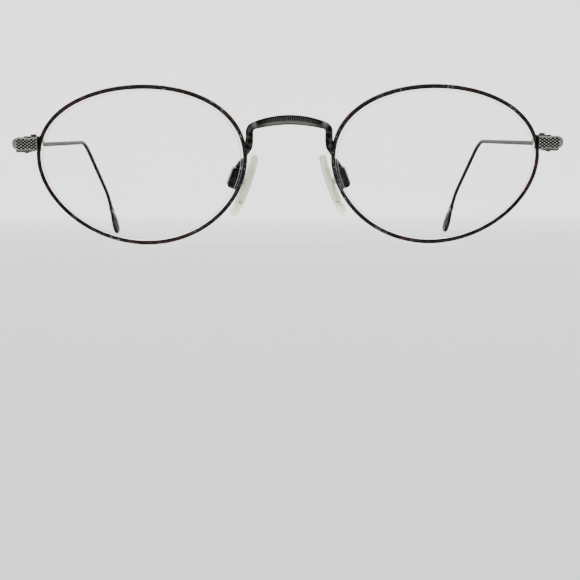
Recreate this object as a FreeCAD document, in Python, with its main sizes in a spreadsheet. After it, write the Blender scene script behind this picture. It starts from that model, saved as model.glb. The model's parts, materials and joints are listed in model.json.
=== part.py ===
import FreeCAD, Part
import math
import os
import Sketcher

# Oval wire eyeglasses, millimetres.
# +X is the wearer's left, the lenses face -Y, the temples run back along +Y and +Z is up.
# The glasses stand open on a level surface, on the lowest points of both rims and both temple tips.
# Left-hand pieces are modelled; the right-hand ones are their mirror images in the plane x = 0.

os.makedirs("parts", exist_ok=True)
Vec = FreeCAD.Vector
doc = FreeCAD.newDocument("OvalWireEyeglasses")
dims = doc.addObject("Spreadsheet::Sheet", "dims")

# Driving dimensions. The front (rims, lenses, bridge, pads) is drawn upright with the lowest point of
# the rims at z = 0, then leaned. The temples are drawn level from the hinge, then raised to the back.
table = [
    # stance of the two groups
    ("lean_angle", 8.0), ("rise_angle", 3.2), ("front_shift", -63.21), ("front_lift", -0.076),
    ("hinge_depth", 8.0), ("hinge_level", 23.35),
    # rim outline about the lens centre: half width, half height, how much higher the outline sits at
    # its temple end and nose end than at its middle, and how far the top and bottom lean
    ("lens_offset", 34.72), ("lens_level", 19.02), ("rim_half_width", 24.7), ("rim_half_height", 18.57),
    ("temple_end_rise", 1.93), ("nose_end_rise", 1.82), ("rim_skew", 0.46),
    # curvature of the front: each lens lies on a sphere set towards the nose
    ("base_curve_radius", 125.0), ("curve_shift", 6.6),
    # eyewire section and its groove
    ("rim_radial", 0.98), ("rim_axial", 1.9), ("rim_corner", 0.25), ("groove_depth", 0.3),
    ("groove_width", 0.8), ("split_angle", 9.8), ("split_gap", 0.24),
    # lens
    ("lens_front_inset", 0.1), ("lens_edge_gap", 0.02), ("bevel_reach", 0.24),
    # bridge
    ("bridge_top", 31.05), ("bridge_drop", 1.55), ("bridge_leg", 9.42), ("bridge_depth", 1.5),
    ("bridge_height", 2.2), ("bridge_leg_width", 1.5), ("bridge_forward", 1.5), ("bridge_foot", 21.7),
    # end piece: knurled plate beside the rim, turned back into a short arm
    ("plate_inner", 59.75), ("plate_outer", 66.15), ("plate_front", 2.35), ("plate_thick", 1.55),
    ("arm_inner", 65.0), ("arm_end", 7.0), ("plate_height", 3.2), ("plate_level", 24.05),
    ("plate_round", 1.0),
    # closing blocks and their screw
    ("block_inner", 59.2), ("block_outer", 62.6), ("block_front", 3.9), ("block_depth", 2.4),
    ("block_half", 1.65), ("block_gap", 0.06), ("block_relief_across", 59.75),
    ("block_relief_back", 5.35), ("block_screw_across", 61.25), ("block_screw_back", 5.25),
    ("block_screw_radius", 0.5), ("block_head_radius", 0.7), ("block_head_height", 0.45),
    ("block_screw_tail", 0.3),
    # hinge
    ("hinge_across", 63.5), ("barrel_radius", 1.25), ("barrel_half", 1.75), ("middle_half", 0.55),
    ("knuckle_gap", 0.04), ("leaf_inner", 64.3), ("leaf_length", 3.6), ("pin_radius", 0.5),
    ("pin_clearance", 0.03), ("pin_head_radius", 0.68), ("pin_head_height", 0.38), ("pin_tail", 0.25),
    ("nick_depth", 0.22),
    # temple butt: outer cheek, stop lip and body
    ("cheek_inner", 65.12), ("cheek_outer", 66.0), ("lip_front", 0.8), ("butt_front", 1.4),
    ("butt_back", 6.5), ("butt_inner", 62.5), ("butt_top", 1.35), ("butt_bottom", 1.75),
    # temple wire and tip
    ("wire_radius", 0.56), ("wire_start", 63.2), ("bend_across", 62.1), ("ear_radius", 9.0),
    ("neck_radius", 34.0), ("tip_thick", 2.1), ("tip_width", 3.5), ("tip_length", 15.0),
    # nose pads: lean in the front view, splay seen from above
    ("pad_lean", 21.0), ("pad_splay", 6.0), ("pad_across", 10.7), ("pad_back", 8.0),
    ("pad_level", 14.15), ("pad_above", 7.1), ("pad_below", 8.8), ("pad_width", 7.6),
    ("pad_thick", 1.9), ("pad_curve_radius", 62.0),
    # pad box, screw and insert
    ("box_distance", 2.7), ("box_thick", 2.8), ("box_long", 5.0), ("box_wide", 3.2), ("box_slot", 1.5),
    ("box_floor", 0.65), ("pad_screw_radius", 0.45), ("pad_screw_head", 0.75), ("insert_long", 9.0),
    ("insert_wide", 2.8), ("insert_thick", 0.5), ("stud_side_gap", 0.05), ("stud_width", 1.4),
    ("arm_radius", 0.7), ("box_rise", 0.2),
]
row = 1
for alias, number in table:
    dims.set("A%d" % row, alias)
    dims.set("B%d" % row, str(number))
    dims.setAlias("B%d" % row, alias)
    row += 1
doc.recompute()


def dim(alias):
    return float(dims.get(alias))


FRONT_PLACE = ("create(<<placement>>; create(<<vector>>; 0; dims.front_shift; dims.front_lift); "
               "create(<<rotation>>; create(<<vector>>; 1; 0; 0); dims.lean_angle))")
TEMPLE_PLACE = ("create(<<placement>>; create(<<vector>>; 0; "
                "dims.front_shift + dims.hinge_depth * cos(dims.lean_angle) "
                "- dims.hinge_level * sin(dims.lean_angle); "
                "dims.front_lift + dims.hinge_depth * sin(dims.lean_angle) "
                "+ dims.hinge_level * cos(dims.lean_angle)); "
                "create(<<rotation>>; create(<<vector>>; 1; 0; 0); dims.rise_angle))")

nodes = []


def finish(obj, label, place):
    obj.Label = label
    obj.setExpression("Placement", place)
    nodes.append(obj)
    return obj


def feature(label, shape, place):
    obj = doc.addObject("Part::Feature", label)
    obj.Shape = shape
    return finish(obj, label, place)


# ---------------------------------------------------------------- rim outline and lens surface

def sag(across, up):
    # how far back the curved front lies at this spot
    radius = dim("base_curve_radius")
    dx = across - (dim("lens_offset") - dim("curve_shift"))
    dz = up - dim("lens_level")
    return radius - math.sqrt(radius * radius - dx * dx - dz * dz)


def outline(turn):
    c = math.cos(turn)
    d = math.sin(turn)
    rise = dim("temple_end_rise")
    fall = dim("nose_end_rise")
    across = dim("lens_offset") + dim("rim_half_width") * c + dim("rim_skew") * math.cos(2 * turn)
    up = (dim("lens_level") + dim("rim_half_height") * d
          + (rise + fall) / 2 * c * c + (rise - fall) / 2 * c)
    return across, up


def rim_point(turn, outward=0.0):
    x0, z0 = outline(turn)
    x1, z1 = outline(turn + 1e-4)
    tx = x1 - x0
    tz = z1 - z0
    size = math.hypot(tx, tz)
    x = x0 + outward * tz / size
    z = z0 - outward * tx / size
    return Vec(x, sag(x, z), z)


def spine(first, last, outward, count):
    pts = []
    for i in range(count + 1):
        pts.append(rim_point(first + (last - first) * i / count, outward))
    curve = Part.BSplineCurve()
    curve.interpolate(Points=pts)
    return Part.Wire(curve.toShape())


def closed_spine(outward, count):
    pts = []
    for i in range(count):
        pts.append(rim_point(2 * math.pi * i / count, outward))
    curve = Part.BSplineCurve()
    curve.interpolate(Points=pts, PeriodicFlag=True)
    return Part.Wire(curve.toShape())


def section_at(path, corners):
    # closed polygon across the path's start: first number outward, second towards the back
    edge = path.Edges[0]
    start = edge.valueAt(edge.FirstParameter)
    along = edge.tangentAt(edge.FirstParameter)
    back = Vec(0, 1, 0)
    out = back.cross(along)
    if out.x < 0:
        out = out * -1
    out.normalize()
    pts = []
    for u, v in corners:
        pts.append(start + out * u + back * v)
    pts.append(pts[0])
    return Part.makePolygon(pts)


def pipe(path, profile, level=Vec(0, 1, 0)):
    # sweeps the profile along the path without letting it turn about the level direction
    maker = Part.BRepOffsetAPI.MakePipeShell(path)
    maker.setBiNormalMode(level)
    maker.add(profile)
    maker.build()
    maker.makeSolid()
    solid = maker.shape()
    if solid.Volume < 0:
        solid.reverse()
    return solid


half_r = dim("rim_radial") / 2
half_a = dim("rim_axial") / 2
cut_r = dim("rim_corner")
groove = half_r - dim("groove_depth")
gw = dim("groove_width") / 2
rim_section = [
    (-half_r, -half_a + 0.12), (-half_r + 0.12, -half_a), (half_r - cut_r, -half_a),
    (half_r - cut_r * 0.3, -half_a + cut_r * 0.3), (half_r, -half_a + cut_r),
    (half_r, half_a - cut_r), (half_r - cut_r * 0.3, half_a - cut_r * 0.3),
    (half_r - cut_r, half_a), (-half_r + 0.12, half_a), (-half_r, half_a - 0.12),
    (-half_r, gw), (-groove, 0.08), (-groove, -0.08), (-half_r, -gw)]
split = math.radians(dim("split_angle"))
gap = dim("split_gap") / 2 / dim("rim_half_width")
rim_path = spine(split + gap, split + 2 * math.pi - gap, 0.0, 72)
rim_shape = pipe(rim_path, section_at(rim_path, rim_section))
eyewire = feature("eyewire_left", rim_shape, FRONT_PLACE)

# the lens: an extruded outline kept between two spheres, with a bevel all round for the groove
edge_out = -half_r - dim("lens_edge_gap")
pts = []
for i in range(72):
    p = rim_point(2 * math.pi * i / 72, edge_out)
    pts.append(Vec(p.x, -6, p.z))
lens_curve = Part.BSplineCurve()
lens_curve.interpolate(Points=pts, PeriodicFlag=True)
blank = Part.Face(Part.Wire(lens_curve.toShape())).extrude(Vec(0, 20, 0))
radius = dim("base_curve_radius")
centre_x = dim("lens_offset") - dim("curve_shift")
face_front = -half_a + dim("lens_front_inset")
ball_front = Part.makeSphere(radius, Vec(centre_x, radius + face_front, dim("lens_level")))
ball_back = Part.makeSphere(radius, Vec(centre_x, radius + half_a, dim("lens_level")))
disc = blank.common(ball_front).cut(ball_back)
bevel_path = closed_spine(edge_out, 72)
reach = dim("bevel_reach")
bevel = pipe(bevel_path, section_at(bevel_path, [(-0.2, -0.3), (0.0, -0.3), (reach, 0.0), (0.0, 0.3),
                                                 (-0.2, 0.3)]))
lens_shape = disc.fuse(bevel).removeSplitter()
if lens_shape.ShapeType != "Solid":
    lens_shape = lens_shape.Solids[0]
lens = feature("lens_left", lens_shape, FRONT_PLACE)

# ---------------------------------------------------------------- bridge

def ellipse_wire(centre, first, second, a, b):
    # closed smooth ring with half axes a along first and b along second
    pts = []
    for i in range(12):
        w = 2 * math.pi * i / 12
        pts.append(centre + first * (a * math.cos(w)) + second * (b * math.sin(w)))
    curve = Part.BSplineCurve()
    curve.interpolate(Points=pts, PeriodicFlag=True)
    return Part.Wire(curve.toShape())


def bridge_line():
    # from the foot of the right leg over the arch to the foot of the left leg
    leg = dim("bridge_leg")
    top = dim("bridge_top") - dim("bridge_height") / 2
    shoulder = top - dim("bridge_drop")
    fwd = dim("bridge_forward")
    half = [(leg + 0.8, 1.55, dim("bridge_foot") - 0.5, 0.25, 0.35),
            (leg + 0.54, 1.45, dim("bridge_foot") + 0.3, 0.5, 0.6),
            (leg + 0.2, 1.25, dim("bridge_foot") + 1.5, 0.92, 0.8),
            (leg, 0.9, dim("bridge_foot") + 2.9, 1.0, 0.98),
            (leg - 0.02, 0.3, dim("bridge_foot") + 4.4, 1.0, 1.0),
            (leg - 0.08, -0.25, shoulder - 1.0, 1.05, 1.0),
            (leg - 0.62, -0.6, shoulder - 0.1, 1.15, 1.0),
            (leg - 2.0, -0.95, shoulder + 0.45, 1.25, 1.0),
            (leg - 4.2, -1.3, shoulder + 1.0, 1.4, 1.0),
            (leg - 6.8, -1.48, top - 0.15, 1.5, 1.0),
            (0.0, -fwd, top, 1.52, 1.0)]
    line = []
    for x, y, z, tall, deep in half:
        line.append((-x, y, z, tall, deep))
    for x, y, z, tall, deep in reversed(half[:-1]):
        line.append((x, y, z, tall, deep))
    return line


line = bridge_line()
wires = []
for i in range(len(line)):
    before = line[max(i - 1, 0)]
    after = line[min(i + 1, len(line) - 1)]
    along = Vec(after[0] - before[0], after[1] - before[1], after[2] - before[2])
    along.normalize()
    upward = Vec(0, 1, 0).cross(along)
    upward.normalize()
    deepward = along.cross(upward)
    spot = Vec(line[i][0], line[i][1], line[i][2])
    tall = dim("bridge_leg_width") / 2 * line[i][3]
    deep = dim("bridge_depth") / 2 * line[i][4]
    wires.append(ellipse_wire(spot, upward, deepward, tall, deep))
bridge_shape = Part.makeLoft(wires, True, False, False)
mirror_rim = rim_shape.mirror(Vec(0, 0, 0), Vec(1, 0, 0))
bridge_shape = bridge_shape.cut(rim_shape).cut(mirror_rim)
bridge_shape = sorted(bridge_shape.Solids, key=lambda solid: solid.Volume)[-1]
feature("bridge", bridge_shape, FRONT_PLACE)

# ---------------------------------------------------------------- bodies with sketches


def origin_plane(body, role):
    for item in body.Origin.OriginFeatures:
        if item.Role == role:
            return item
    return None


def pin_point(sketch, geo, point, expressions):
    # fixes one point of the sketch by its two coordinates, each bound to the sheet
    values = []
    for text in expressions:
        values.append(float(sketch.evalExpression(text)))
    for kind, text, value, axis in (("DistanceX", expressions[0], values[0], -2),
                                    ("DistanceY", expressions[1], values[1], -1)):
        if abs(value) < 1e-9:
            sketch.addConstraint(Sketcher.Constraint("PointOnObject", geo, point, axis))
        elif value > 0:
            n = sketch.addConstraint(Sketcher.Constraint(kind, -1, 1, geo, point, value))
            sketch.setExpression("Constraints[%d]" % n, text)
        else:
            n = sketch.addConstraint(Sketcher.Constraint(kind, geo, point, -1, 1, -value))
            sketch.setExpression("Constraints[%d]" % n, "-(%s)" % text)


def new_sketch(body, name, level):
    sketch = body.newObject("Sketcher::SketchObject", name)
    sketch.AttachmentSupport = [(origin_plane(body, "XY_Plane"), "")]
    sketch.MapMode = "FlatFace"
    sketch.setExpression(".AttachmentOffset.Base.z", level)
    return sketch


def polygon(body, name, level, corners):
    sketch = new_sketch(body, name, level)
    spots = []
    for pair in corners:
        spots.append(Vec(float(sketch.evalExpression(pair[0])), float(sketch.evalExpression(pair[1])), 0))
    count = len(spots)
    for i in range(count):
        sketch.addGeometry(Part.LineSegment(spots[i], spots[(i + 1) % count]), False)
    for i in range(count):
        sketch.addConstraint(Sketcher.Constraint("Coincident", i, 2, (i + 1) % count, 1))
    for i in range(count):
        pin_point(sketch, i, 1, corners[i])
    return sketch


def circle(body, name, level, centre, radius_text):
    sketch = new_sketch(body, name, level)
    spot = Vec(float(sketch.evalExpression(centre[0])), float(sketch.evalExpression(centre[1])), 0)
    sketch.addGeometry(Part.Circle(spot, Vec(0, 0, 1), float(sketch.evalExpression(radius_text))), False)
    pin_point(sketch, 0, 3, centre)
    n = sketch.addConstraint(Sketcher.Constraint("Radius", 0, float(sketch.evalExpression(radius_text))))
    sketch.setExpression("Constraints[%d]" % n, radius_text)
    return sketch


def pad(body, name, sketch, length):
    item = body.newObject("PartDesign::Pad", name)
    item.Profile = sketch
    item.setExpression("Length", length)
    doc.recompute()
    return item


def pocket(body, name, sketch, length):
    before = body.Shape.Volume
    item = body.newObject("PartDesign::Pocket", name)
    item.Profile = sketch
    item.setExpression("Length", length)
    doc.recompute()
    if body.Shape.Volume > before - 1e-6:
        raise RuntimeError(name + " cuts nothing")
    return item


def round_edges(body, name, chosen, size):
    base = body.Tip
    names = []
    for i, edge in enumerate(base.Shape.Edges):
        if chosen(edge):
            names.append("Edge%d" % (i + 1))
    item = body.newObject("PartDesign::Fillet", name)
    item.Base = (base, names)
    item.setExpression("Radius", size)
    doc.recompute()
    return item


# end piece: an L-shaped profile padded to the plate's height, its outer edges rounded over
blank = doc.addObject("PartDesign::Body", "end_piece_blank")
shape = polygon(blank, "plate_profile", "dims.plate_level - dims.plate_height / 2", [
    ("dims.plate_inner", "dims.plate_front"), ("dims.plate_outer", "dims.plate_front"),
    ("dims.plate_outer", "dims.arm_end"), ("dims.arm_inner", "dims.arm_end"),
    ("dims.arm_inner", "dims.plate_front + dims.plate_thick"),
    ("dims.plate_inner", "dims.plate_front + dims.plate_thick")])
pad(blank, "plate_pad", shape, "dims.plate_height")


def outer_corner(edge):
    a = edge.Vertexes[0].Point
    b = edge.Vertexes[-1].Point
    upright = abs(a.z - b.z) > 1.0
    return upright and abs(a.x - dim("plate_outer")) < 1e-4 and abs(a.y - dim("plate_front")) < 1e-4


def outer_rim(edge):
    box = edge.BoundBox
    level = box.ZLength < 1e-4
    outside = box.XMax > dim("plate_outer") - 1e-4 or box.YMin < dim("plate_front") + 1e-4
    back = box.YMin > dim("arm_end") - 1e-4
    inner = box.XMax < dim("plate_inner") + 1e-4
    return level and outside and not back and not inner


round_edges(blank, "plate_turn", outer_corner, "dims.plate_thick - 0.05")
round_edges(blank, "plate_crown", outer_rim, "dims.plate_round")
rim_tool = doc.addObject("Part::Feature", "rim_tool")
rim_tool.Shape = pipe(rim_path, section_at(rim_path, rim_section[:-4]))
end_piece = doc.addObject("Part::Cut", "end_piece_left")
end_piece.Base = blank
end_piece.Tool = rim_tool
finish(end_piece, "end_piece_left", FRONT_PLACE)

# closing blocks: two small blocks on the rim's ends, trimmed to the rim and drilled for the screw
for half in ("upper", "lower"):
    base = "dims.plate_level + dims.block_gap" if half == "upper" else "dims.plate_level - dims.block_half"
    box = doc.addObject("Part::Box", "closing_box_" + half)
    box.setExpression("Length", "dims.block_outer - dims.block_inner")
    box.setExpression("Width", "dims.block_depth")
    box.setExpression("Height", "dims.block_half - dims.block_gap")
    box.setExpression("Placement", "create(<<placement>>; create(<<vector>>; dims.block_inner; "
                      "dims.block_front; %s); create(<<rotation>>; create(<<vector>>; 0; 0; 1); 0))" % base)
    doc.recompute()
    relief = doc.addObject("Part::Box", "closing_relief_" + half)
    relief.setExpression("Length", "dims.block_relief_across - dims.block_inner + 1")
    relief.setExpression("Width", "dims.block_relief_back - dims.block_front + 1")
    relief.Height = 6
    relief.setExpression("Placement", "create(<<placement>>; create(<<vector>>; dims.block_inner - 1; "
                         "dims.block_front - 1; dims.plate_level - 3); "
                         "create(<<rotation>>; create(<<vector>>; 0; 0; 1); 0))")
    soft = doc.addObject("Part::Fillet", "closing_soft_" + half)
    soft.Base = box
    picked = []
    for i, edge in enumerate(box.Shape.Edges):
        bb = edge.BoundBox
        if bb.ZLength > 1.0 and bb.YMin > dim("block_front") + 1.0:
            picked.append((i + 1, 0.4, 0.4))
    soft.Edges = picked
    drill = doc.addObject("Part::Cylinder", "closing_drill_" + half)
    drill.setExpression("Radius", "dims.block_screw_radius + 0.01")
    drill.Height = 6
    drill.setExpression("Placement", "create(<<placement>>; create(<<vector>>; dims.block_screw_across; "
                        "dims.block_screw_back; dims.plate_level - 3); "
                        "create(<<rotation>>; create(<<vector>>; 0; 0; 1); 0))")
    bored = doc.addObject("Part::Cut", "closing_bored_" + half)
    bored.Base = soft
    bored.Tool = drill
    stepped = doc.addObject("Part::Cut", "closing_stepped_" + half)
    stepped.Base = bored
    stepped.Tool = relief
    trimmed = doc.addObject("Part::Cut", "closing_block_%s_left" % half)
    trimmed.Base = stepped
    trimmed.Tool = rim_tool
    finish(trimmed, "closing_block_%s_left" % half, FRONT_PLACE)


def screw(label, centre, low, high, shank, head, head_height, head_up, slot, place):
    # a slotted cheese-head screw standing along z
    body = doc.addObject("Part::Cylinder", label + "_shank")
    body.setExpression("Radius", shank)
    body.setExpression("Height", "(%s) - (%s)" % (high, low))
    body.setExpression("Placement", "create(<<placement>>; create(<<vector>>; %s; %s; %s); "
                       "create(<<rotation>>; create(<<vector>>; 0; 0; 1); 0))" % (centre[0], centre[1], low))
    cap_low = high if head_up else "(%s) - (%s)" % (low, head_height)
    cap = doc.addObject("Part::Cylinder", label + "_cap")
    cap.setExpression("Radius", head)
    cap.setExpression("Height", head_height)
    cap.setExpression("Placement", "create(<<placement>>; create(<<vector>>; %s; %s; %s); "
                      "create(<<rotation>>; create(<<vector>>; 0; 0; 1); 0))"
                      % (centre[0], centre[1], cap_low))
    whole = doc.addObject("Part::Fuse", label + "_whole")
    whole.Base = body
    whole.Tool = cap
    if head_up:
        nick_low = "(%s) + (%s) - dims.nick_depth" % (high, head_height)
    else:
        nick_low = "(%s) - (%s) - 0.52 + dims.nick_depth" % (low, head_height)
    nick = doc.addObject("Part::Box", label + "_nick")
    nick.setExpression("Length", "2.4 * (%s)" % head)
    nick.setExpression("Width", slot)
    nick.Height = 0.52
    nick.setExpression("Placement", "create(<<placement>>; create(<<vector>>; (%s) - 1.2 * (%s); "
                       "(%s) - (%s) / 2; %s); create(<<rotation>>; create(<<vector>>; 0; 0; 1); 0))"
                       % (centre[0], head, centre[1], slot, nick_low))
    slotted = doc.addObject("Part::Cut", label)
    slotted.Base = whole
    slotted.Tool = nick
    return finish(slotted, label, place)


screw("closing_screw_left", ("dims.block_screw_across", "dims.block_screw_back"),
      "dims.plate_level - dims.block_half - dims.block_screw_tail", "dims.plate_level + dims.block_half",
      "dims.block_screw_radius", "dims.block_head_radius", "dims.block_head_height", True, "0.28",
      FRONT_PLACE)

# front half of the hinge: a leaf on the inside of the end piece's arm with two outer knuckles
hinge = doc.addObject("PartDesign::Body", "hinge_front_left")
leaf = polygon(hinge, "leaf_profile", "-dims.barrel_half", [
    ("dims.leaf_inner", "-dims.leaf_length"), ("dims.arm_inner", "-dims.leaf_length"),
    ("dims.arm_inner", "dims.barrel_radius * 0.2"), ("dims.leaf_inner", "dims.barrel_radius * 0.2")])
pad(hinge, "leaf_pad", leaf, "2 * dims.barrel_half")
HINGE_AXIS = ("dims.hinge_across", "0")
barrel = circle(hinge, "barrel_profile", "-dims.barrel_half", HINGE_AXIS, "dims.barrel_radius")
pad(hinge, "barrel_pad", barrel, "2 * dims.barrel_half")
clear = circle(hinge, "clear_profile", "dims.middle_half + dims.knuckle_gap", HINGE_AXIS,
               "dims.barrel_radius + 0.06")
pocket(hinge, "clear_pocket", clear, "2 * dims.middle_half + 2 * dims.knuckle_gap")
hole = circle(hinge, "pin_profile", "dims.barrel_half + 1", HINGE_AXIS, "dims.pin_radius + 0.01")
pocket(hinge, "pin_pocket", hole, "2 * dims.barrel_half + 2")
finish(hinge, "hinge_front_left", TEMPLE_PLACE)

screw("hinge_screw_left", HINGE_AXIS, "-dims.barrel_half - dims.pin_tail", "dims.barrel_half",
      "dims.pin_radius", "dims.pin_head_radius", "dims.pin_head_height", True, "0.24", TEMPLE_PLACE)

# temple butt: middle knuckle, neck, body and the outer cheek whose lip meets the arm's end
butt = doc.addObject("PartDesign::Body", "temple_hinge_left")
knuckle = circle(butt, "knuckle_profile", "-dims.middle_half", HINGE_AXIS, "dims.barrel_radius")
pad(butt, "knuckle_pad", knuckle, "2 * dims.middle_half")
neck = polygon(butt, "neck_profile", "-dims.middle_half", [
    ("dims.hinge_across - 0.8", "0.5"), ("dims.hinge_across + 0.9", "0.5"),
    ("dims.hinge_across + 0.9", "dims.butt_front + 0.5"),
    ("dims.hinge_across - 0.8", "dims.butt_front + 0.5")])
pad(butt, "neck_pad", neck, "2 * dims.middle_half")
body_profile = polygon(butt, "butt_profile", "-dims.butt_bottom", [
    ("dims.cheek_inner", "-dims.lip_front"), ("dims.cheek_outer", "-dims.lip_front"),
    ("dims.cheek_outer", "dims.butt_front + 1.4"),
    ("dims.wire_start + dims.wire_radius + 0.1", "dims.butt_back"),
    ("dims.wire_start - dims.wire_radius - 0.1", "dims.butt_back"),
    ("dims.butt_inner", "dims.butt_front + 0.9"), ("dims.butt_inner", "dims.butt_front"),
    ("dims.cheek_inner", "dims.butt_front")])
pad(butt, "butt_pad", body_profile, "dims.butt_top + dims.butt_bottom")
# the body narrows upwards and downwards to the wire: slanting cuts above and below
for side in ("above", "below"):
    wedge = butt.newObject("Sketcher::SketchObject", "wedge_" + side)
    wedge.AttachmentSupport = [(origin_plane(butt, "YZ_Plane"), "")]
    wedge.MapMode = "FlatFace"
    wedge.setExpression(".AttachmentOffset.Base.z", "dims.cheek_outer + 1")
    near = dim("butt_top") if side == "above" else -dim("butt_bottom")
    sign = 1 if side == "above" else -1
    far = sign * (dim("wire_radius") + 0.1)
    spots = [Vec(dim("butt_front") + 0.6, near, 0), Vec(dim("butt_back") + 0.5, far, 0),
             Vec(dim("butt_back") + 0.5, near + sign, 0), Vec(dim("butt_front") + 0.6, near + sign, 0)]
    for i in range(4):
        wedge.addGeometry(Part.LineSegment(spots[i], spots[(i + 1) % 4]), False)
    for i in range(4):
        wedge.addConstraint(Sketcher.Constraint("Coincident", i, 2, (i + 1) % 4, 1))
    pocket(butt, "wedge_cut_" + side, wedge, "dims.cheek_outer - dims.butt_inner + 2")
bore = circle(butt, "bore_profile", "dims.middle_half + 1", HINGE_AXIS,
              "dims.pin_radius + dims.pin_clearance")
pocket(butt, "bore_pocket", bore, "2 * dims.middle_half + 2")
finish(butt, "temple_hinge_left", TEMPLE_PLACE)

# ---------------------------------------------------------------- temple wire and tip

def bend(before, corner, after, radius):
    # the arc that rounds one corner of the wire, tangent to the straight runs on both sides
    back = before - corner
    back.normalize()
    onward = after - corner
    onward.normalize()
    half = math.acos(back.dot(onward)) / 2
    middle = back + onward
    middle.normalize()
    centre = corner + middle * (radius / math.sin(half))
    reach = radius / math.tan(half)
    return corner + back * reach, centre - middle * radius, corner + onward * reach


wire_first = Vec(dim("wire_start"), dim("butt_back"), 0)
ear_corner = Vec(dim("bend_across"), 90.2, 0)
neck_corner = Vec(dim("bend_across") - 4.5, 108.2, -16.9)
tip_end = Vec(dim("bend_across") - 5.4, 126.4, -30.712)
ear_bend = bend(wire_first, ear_corner, neck_corner, dim("ear_radius"))
neck_bend = bend(ear_corner, neck_corner, tip_end, dim("neck_radius"))
tip_direction = tip_end - neck_corner
tip_direction.normalize()
tip_from = tip_end - tip_direction * dim("tip_length")
wire_last = tip_from + tip_direction * 8.0
run_direction = ear_corner - wire_first
run_direction.normalize()
wire_path = Part.Wire([
    Part.makeLine(wire_first, ear_bend[0]), Part.Arc(*ear_bend).toShape(),
    Part.makeLine(ear_bend[2], neck_bend[0]), Part.Arc(*neck_bend).toShape(),
    Part.makeLine(neck_bend[2], wire_last)])
round_section = Part.Face(Part.Wire(Part.makeCircle(dim("wire_radius"), wire_first, run_direction)))
wire_shape = wire_path.makePipe(round_section)
feature("temple_wire_left", wire_shape, TEMPLE_PLACE)

# the tip: a flattened paddle lofted along the end of the wire, thicker towards its middle
wires = []
profile = [(0.0, 0.0, 0.0), (0.1, 0.0, 0.0), (0.24, 0.3, 0.24), (0.42, 0.72, 0.6), (0.6, 0.95, 0.92),
           (0.76, 1.0, 1.0), (0.88, 0.92, 0.86), (0.96, 0.72, 0.6), (1.0, 0.46, 0.36)]
sideways = tip_direction.cross(Vec(1, 0, 0))
sideways.normalize()
inward = sideways.cross(tip_direction)
for share, thick, wide in profile:
    spot = tip_from + tip_direction * (dim("tip_length") * share)
    collar = dim("wire_radius") + 0.17 if share < 0.5 else 0.2
    a = max(dim("tip_thick") / 2 * thick, collar)
    b = max(dim("tip_width") / 2 * wide, collar)
    wires.append(ellipse_wire(spot, inward, sideways, a, b))
tip_shape = Part.makeLoft(wires, True, False, False)
tip_shape = tip_shape.cut(wire_shape)
tip_shape = sorted(tip_shape.Solids, key=lambda solid: solid.Volume)[-1]
feature("temple_tip_left", tip_shape, TEMPLE_PLACE)

# ---------------------------------------------------------------- nose pad, insert, box, screw and arm

lean = math.radians(dim("pad_lean"))
splay = math.radians(dim("pad_splay"))
pad_up = Vec(-math.sin(lean), 0, math.cos(lean))
flat_in = Vec(-math.cos(lean), 0, -math.sin(lean))
pad_in = flat_in * math.cos(splay) + Vec(0, 1, 0) * math.sin(splay)
pad_wide = pad_up.cross(pad_in)
pad_wide.normalize()
if pad_wide.y < 0:
    pad_wide = pad_wide * -1
pad_spot = Vec(dim("pad_across"), dim("pad_back"), dim("pad_level"))


def pad_frame(up, inward, across=0.0):
    return pad_spot + pad_up * up + pad_in * inward + pad_wide * across


def pad_box_shape(up, inward, across, size_up, size_in, size_across):
    # block centred on a spot given along the pad's own directions
    block = Part.makeBox(size_in, size_across, size_up, Vec(-size_in / 2, -size_across / 2, -size_up / 2))
    turn = FreeCAD.Rotation(pad_in, pad_wide, pad_up, "ZXY")
    block.Placement = FreeCAD.Placement(pad_frame(up, inward, across), turn)
    return block


# crowned pad curved along its length, lofted from flattened ovals
wires = []
span = dim("pad_above") + dim("pad_below")
for share in (0.0, 0.02, 0.07, 0.16, 0.3, 0.5, 0.7, 0.84, 0.93, 0.98, 1.0):
    up = -dim("pad_below") + span * share
    bow = math.sqrt(max(1 - (2 * share - 1) ** 2, 0.0))
    wide = dim("pad_width") / 2 * max(bow ** 0.8, 0.16) * (1.0 - 0.1 * (share - 0.5))
    thick = dim("pad_thick") / 2 * max(min(1.0, bow * 1.3) ** 0.6, 0.3)
    middle = up - (dim("pad_above") - dim("pad_below")) / 2
    inward = 0.55 - middle * middle / 2 / dim("pad_curve_radius")
    spot = pad_frame(up, inward)
    wires.append(ellipse_wire(spot, pad_wide, pad_in, wide, thick))
pad_shape = Part.makeLoft(wires, True, False, False)

insert_plate = pad_box_shape(-0.8, 0.25, 0, dim("insert_long"), dim("insert_thick"), dim("insert_wide"))
reach_in = dim("box_distance")
stud = pad_box_shape(0, -reach_in / 2 + 0.1, 0, dim("stud_width"), reach_in + 0.1,
                     dim("box_slot") - 2 * dim("stud_side_gap"))
eye = Part.makeCylinder(dim("stud_width") / 2, dim("box_slot") - 2 * dim("stud_side_gap"),
                        pad_frame(0, -reach_in, -dim("box_slot") / 2 + dim("stud_side_gap")), pad_wide)
eye_hole = Part.makeCylinder(dim("pad_screw_radius") + 0.03, 6, pad_frame(0, -reach_in, -3), pad_wide)
insert_shape = insert_plate.fuse([stud, eye]).cut(eye_hole).removeSplitter()
if insert_shape.ShapeType != "Solid":
    insert_shape = insert_shape.Solids[0]
feature("pad_insert_left", insert_shape, FRONT_PLACE)
soft_pad = pad_shape.cut(insert_shape)
soft_pad = sorted(soft_pad.Solids, key=lambda solid: solid.Volume)[-1]
feature("nose_pad_left", soft_pad, FRONT_PLACE)

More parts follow.
